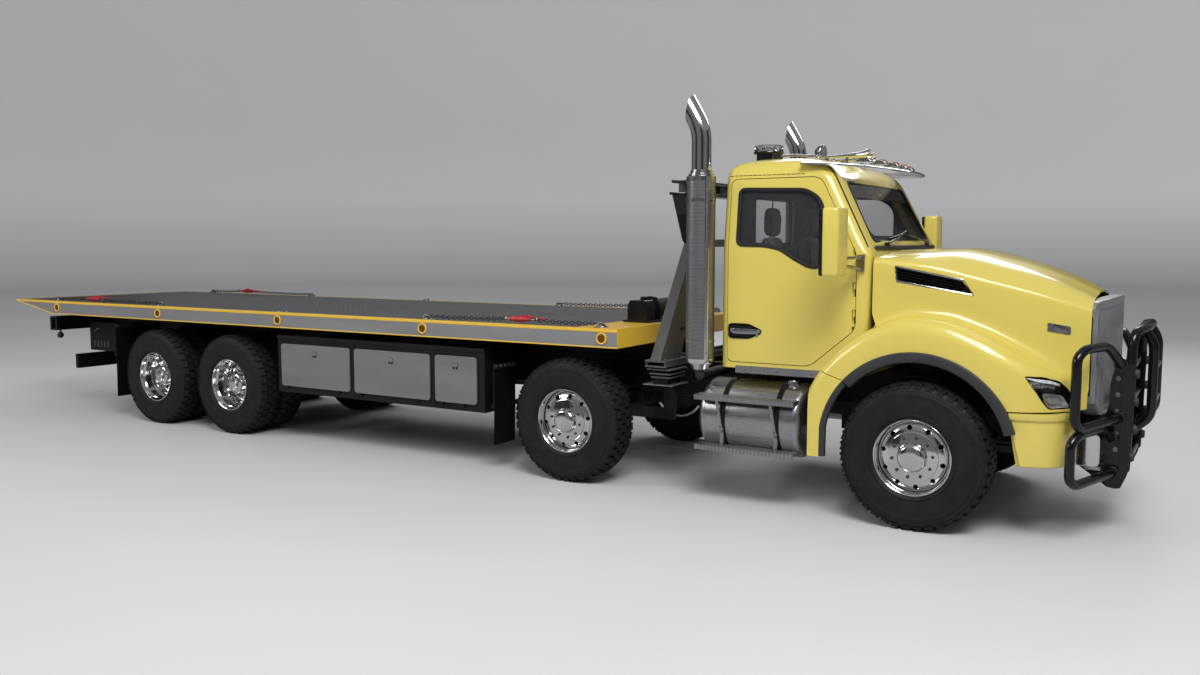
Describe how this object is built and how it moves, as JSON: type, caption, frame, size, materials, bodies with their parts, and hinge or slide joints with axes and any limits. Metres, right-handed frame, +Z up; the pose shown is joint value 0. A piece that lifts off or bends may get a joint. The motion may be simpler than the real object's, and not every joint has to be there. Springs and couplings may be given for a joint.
{
  "type": "slide-and-tilt flatbed truck",
  "caption": "Conventional-cab flatbed recovery truck with a tilting, sliding deck, side toolboxes, pusher axle, dual drive wheels, twin stacks and a front guard.",
  "frame": {"origin": "ground level under the middle of the bounding box", "axes": "+X forward to the guard, +Y to the driver side, +Z up"},
  "size_m": [13.049, 3.16, 3.3103],
  "materials": {
    "yellow_paint": "gloss",
    "chassis_black": "satin",
    "tower_grey": "satin",
    "deck_grey": "satin tread plate",
    "door_grey": "satin",
    "chrome": "polished",
    "aluminium": "brushed",
    "tyre": "matt",
    "rubber": "matt",
    "cast_iron": "matt",
    "grille_grey": "satin",
    "fabric": "matt",
    "plastic": "matt",
    "glass": "clear"
  },
  "bodies": {
    "chassis": {"chassis_frame": "chassis_black", "front_axle": "cast_iron", "pusher_axle": "cast_iron", "tandem_bogie": "cast_iron", "engine_block": "cast_iron", "cab_shell": "yellow_paint", "windshield": "glass", "cab_seats": "fabric", "dashboard": "plastic", "visor": "chrome", "roof_beacon": "plastic", "stack_L": "chrome", "stack_R": "chrome", "tank_L": "aluminium", "tank_R": "aluminium", "mirror_L": "yellow_paint", "mirror_R": "yellow_paint", "bumper": "yellow_paint", "light_tower": "tower_grey", "toolbox_L": "chassis_black", "toolbox_R": "chassis_black", "mudflaps_rear": "rubber", "mudflaps_front": "rubber", "quarter_fender_L": "yellow_paint", "quarter_fender_R": "yellow_paint"},
    "steer_L": {"knuckle_L": "cast_iron"},
    "wheel_front_L": {"tyre_front_L": "tyre", "rim_front_L": "chrome"},
    "wheel_pusher_L": {"tyre_pusher_L": "tyre", "rim_pusher_L": "chrome"},
    "wheel_drive1_L": {"dual_drive1_L": "tyre"},
    "wheel_drive2_L": {"dual_drive2_L": "tyre"},
    "door_L": {"cab_door_L": "yellow_paint"},
    "box_door_L1": {"box_door_L1": "door_grey"},
    "box_door_L2": {"box_door_L2": "door_grey"},
    "box_door_L3": {"box_door_L3": "door_grey"},
    "steer_R": {"knuckle_R": "cast_iron"},
    "wheel_front_R": {"tyre_front_R": "tyre", "rim_front_R": "chrome"},
    "wheel_pusher_R": {"tyre_pusher_R": "tyre", "rim_pusher_R": "chrome"},
    "wheel_drive1_R": {"dual_drive1_R": "tyre"},
    "wheel_drive2_R": {"dual_drive2_R": "tyre"},
    "door_R": {"cab_door_R": "yellow_paint"},
    "box_door_R1": {"box_door_R1": "door_grey"},
    "box_door_R2": {"box_door_R2": "door_grey"},
    "box_door_R3": {"box_door_R3": "door_grey"},
    "hood": {"hood": "yellow_paint", "grille": "grille_grey", "headlamp_L": "glass", "headlamp_R": "glass"},
    "guard": {"guard": "chassis_black"},
    "bed": {"subframe": "chassis_black"},
    "deck": {"deck": "deck_grey", "winch": "chassis_black"},
    "barrels": {"tilt_barrels": "chassis_black"},
    "rods": {"tilt_rods": "chrome"}
  },
  "joints": [
    {"name": "steer_L", "type": "hinge", "parent": "chassis", "child": "steer_L", "pos_m": [5.0155, 0.84, 0.55], "axis": [0, 0, 1], "range_deg": [-35, 35]},
    {"name": "spin_front_L", "type": "hinge", "parent": "steer_L", "child": "wheel_front_L", "pos_m": [5.0155, 1.1075, 0.55], "axis": [0, 1, 0], "continuous": true},
    {"name": "spin_pusher_L", "type": "hinge", "parent": "chassis", "child": "wheel_pusher_L", "pos_m": [1.9855, 1.1075, 0.55], "axis": [0, 1, 0], "continuous": true},
    {"name": "spin_drive1_L", "type": "hinge", "parent": "chassis", "child": "wheel_drive1_L", "pos_m": [-2.4595, 0.95, 0.55], "axis": [0, 1, 0], "continuous": true},
    {"name": "spin_drive2_L", "type": "hinge", "parent": "chassis", "child": "wheel_drive2_L", "pos_m": [-3.7545, 0.95, 0.55], "axis": [0, 1, 0], "continuous": true},
    {"name": "door_L", "type": "hinge", "parent": "chassis", "child": "door_L", "pos_m": [4.4975, 1.041, 1.8], "axis": [0, 0, -1], "range_deg": [0, 60]},
    {"name": "box_door_L1", "type": "hinge", "parent": "chassis", "child": "box_door_L1", "pos_m": [-1.1445, 1.2225, 0.59], "axis": [-1, 0, 0], "range_deg": [0, 90]},
    {"name": "box_door_L2", "type": "hinge", "parent": "chassis", "child": "box_door_L2", "pos_m": [-0.0845, 1.2225, 0.59], "axis": [-1, 0, 0], "range_deg": [0, 90]},
    {"name": "box_door_L3", "type": "hinge", "parent": "chassis", "child": "box_door_L3", "pos_m": [0.7305, 1.2225, 0.59], "axis": [-1, 0, 0], "range_deg": [0, 90]},
    {"name": "steer_R", "type": "hinge", "parent": "chassis", "child": "steer_R", "pos_m": [5.0155, -0.84, 0.55], "axis": [0, 0, 1], "range_deg": [-35, 35]},
    {"name": "spin_front_R", "type": "hinge", "parent": "steer_R", "child": "wheel_front_R", "pos_m": [5.0155, -1.1075, 0.55], "axis": [0, 1, 0], "continuous": true},
    {"name": "spin_pusher_R", "type": "hinge", "parent": "chassis", "child": "wheel_pusher_R", "pos_m": [1.9855, -1.1075, 0.55], "axis": [0, 1, 0], "continuous": true},
    {"name": "spin_drive1_R", "type": "hinge", "parent": "chassis", "child": "wheel_drive1_R", "pos_m": [-2.4595, -0.95, 0.55], "axis": [0, 1, 0], "continuous": true},
    {"name": "spin_drive2_R", "type": "hinge", "parent": "chassis", "child": "wheel_drive2_R", "pos_m": [-3.7545, -0.95, 0.55], "axis": [0, 1, 0], "continuous": true},
    {"name": "door_R", "type": "hinge", "parent": "chassis", "child": "door_R", "pos_m": [4.4975, -1.041, 1.8], "axis": [0, 0, 1], "range_deg": [0, 60]},
    {"name": "box_door_R1", "type": "hinge", "parent": "chassis", "child": "box_door_R1", "pos_m": [-1.1445, -1.2225, 0.59], "axis": [1, 0, 0], "range_deg": [0, 90]},
    {"name": "box_door_R2", "type": "hinge", "parent": "chassis", "child": "box_door_R2", "pos_m": [-0.0845, -1.2225, 0.59], "axis": [1, 0, 0], "range_deg": [0, 90]},
    {"name": "box_door_R3", "type": "hinge", "parent": "chassis", "child": "box_door_R3", "pos_m": [0.7305, -1.2225, 0.59], "axis": [1, 0, 0], "range_deg": [0, 90]},
    {"name": "hood_tilt", "type": "hinge", "parent": "chassis", "child": "hood", "pos_m": [6.1555, 0, 0.8], "axis": [0, 1, 0], "range_deg": [0, 55]},
    {"name": "guard_fold", "type": "hinge", "parent": "chassis", "child": "guard", "pos_m": [6.2855, 0, 0.36], "axis": [0, 1, 0], "range_deg": [0, 94]},
    {"name": "bed_tilt", "type": "hinge", "parent": "chassis", "child": "bed", "pos_m": [-6.0345, 0, 1.1], "axis": [0, -1, 0], "range_deg": [0, 15]},
    {"name": "deck_slide", "type": "slide", "parent": "bed", "child": "deck", "axis": [-1, 0, 0], "range_m": [0, 4.5]},
    {"name": "barrel_hinge", "type": "hinge", "parent": "chassis", "child": "barrels", "pos_m": [-1.9845, 0, 0.83], "axis": [0, 1, 0], "range_deg": [0, 23.09]},
    {"name": "rod_slide", "type": "slide", "parent": "barrels", "child": "rods", "axis": [-0.9806, 0, 0.1961], "range_m": [0, 0.37]}
  ],
  "couplings": [
    {"joint": "steer_R", "follows": "steer_L", "ratio": 1},
    {"joint": "guard_fold", "follows": "hood_tilt", "ratio": 1.7},
    {"joint": "barrel_hinge", "follows": "bed_tilt", "ratio": 1.5057},
    {"joint": "rod_slide", "follows": "bed_tilt", "m_per_rad": 1.377}
  ]
}
